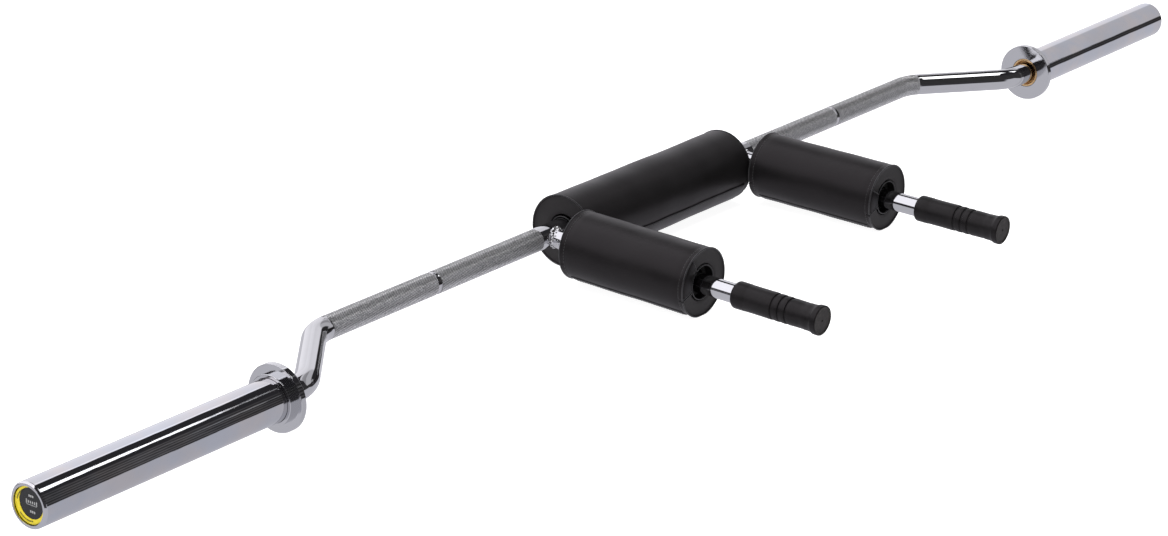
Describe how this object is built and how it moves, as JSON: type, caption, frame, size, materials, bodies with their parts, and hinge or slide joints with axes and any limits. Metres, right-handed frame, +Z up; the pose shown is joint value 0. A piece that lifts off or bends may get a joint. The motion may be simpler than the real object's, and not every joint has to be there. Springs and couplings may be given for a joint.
{
  "type": "squat bar",
  "caption": "Barbell for squats: forward-set rotating load sleeves, a padded roll behind the neck and two padded arms over the shoulders that end in hand grips.",
  "frame": {"origin": "on the floor, under the middle of the box around the whole bar, which lies on its pads", "axes": "X along the load sleeves, towards the wearer's left; -Y along the arms, the way the wearer faces; +Z up"},
  "size_m": [2.298, 0.4474, 0.0917],
  "materials": {
    "chrome": "polished chrome plating",
    "knurled_chrome": "chrome plating, diamond knurled in the middle and polished at the bends",
    "weld": "plated weld bead",
    "vinyl": "soft semi-matte black vinyl",
    "foam": "closed-cell foam",
    "rubber": "matte moulded rubber",
    "bronze": "machined bronze",
    "steel": "plain ground steel",
    "cap_plastic": "smooth black plastic",
    "label_yellow": "printed label"
  },
  "bodies": {
    "bar": {"shaft": "knurled_chrome", "centre_pad_cover": "vinyl", "centre_pad_foam": "foam", "centre_pad_flap": "vinyl", "left_arm": "chrome", "left_weld": "weld", "left_arm_pad_cover": "vinyl", "left_arm_pad_foam": "foam", "left_arm_pad_flap": "vinyl", "left_grip": "rubber", "left_thrust_washer": "steel", "left_retaining_ring": "steel", "right_arm": "chrome", "right_weld": "weld", "right_arm_pad_cover": "vinyl", "right_arm_pad_foam": "foam", "right_arm_pad_flap": "vinyl", "right_grip": "rubber", "right_thrust_washer": "steel", "right_retaining_ring": "steel"},
    "left_sleeve_body": {"left_collar": "chrome", "left_sleeve": "chrome", "left_inner_bushing": "bronze", "left_outer_bushing": "bronze", "left_end_cap": "cap_plastic", "left_end_label": "label_yellow"},
    "right_sleeve_body": {"right_collar": "chrome", "right_sleeve": "chrome", "right_inner_bushing": "bronze", "right_outer_bushing": "bronze", "right_end_cap": "cap_plastic", "right_end_label": "label_yellow"}
  },
  "joints": [
    {"name": "left_sleeve_spin", "type": "hinge", "parent": "bar", "child": "left_sleeve_body", "pos_m": [0.7835, 0.08329, 0.04653], "axis": [1, 0, 0], "continuous": true},
    {"name": "right_sleeve_spin", "type": "hinge", "parent": "bar", "child": "right_sleeve_body", "pos_m": [-0.7835, 0.08329, 0.04653], "axis": [-1, 0, 0], "continuous": true}
  ]
}
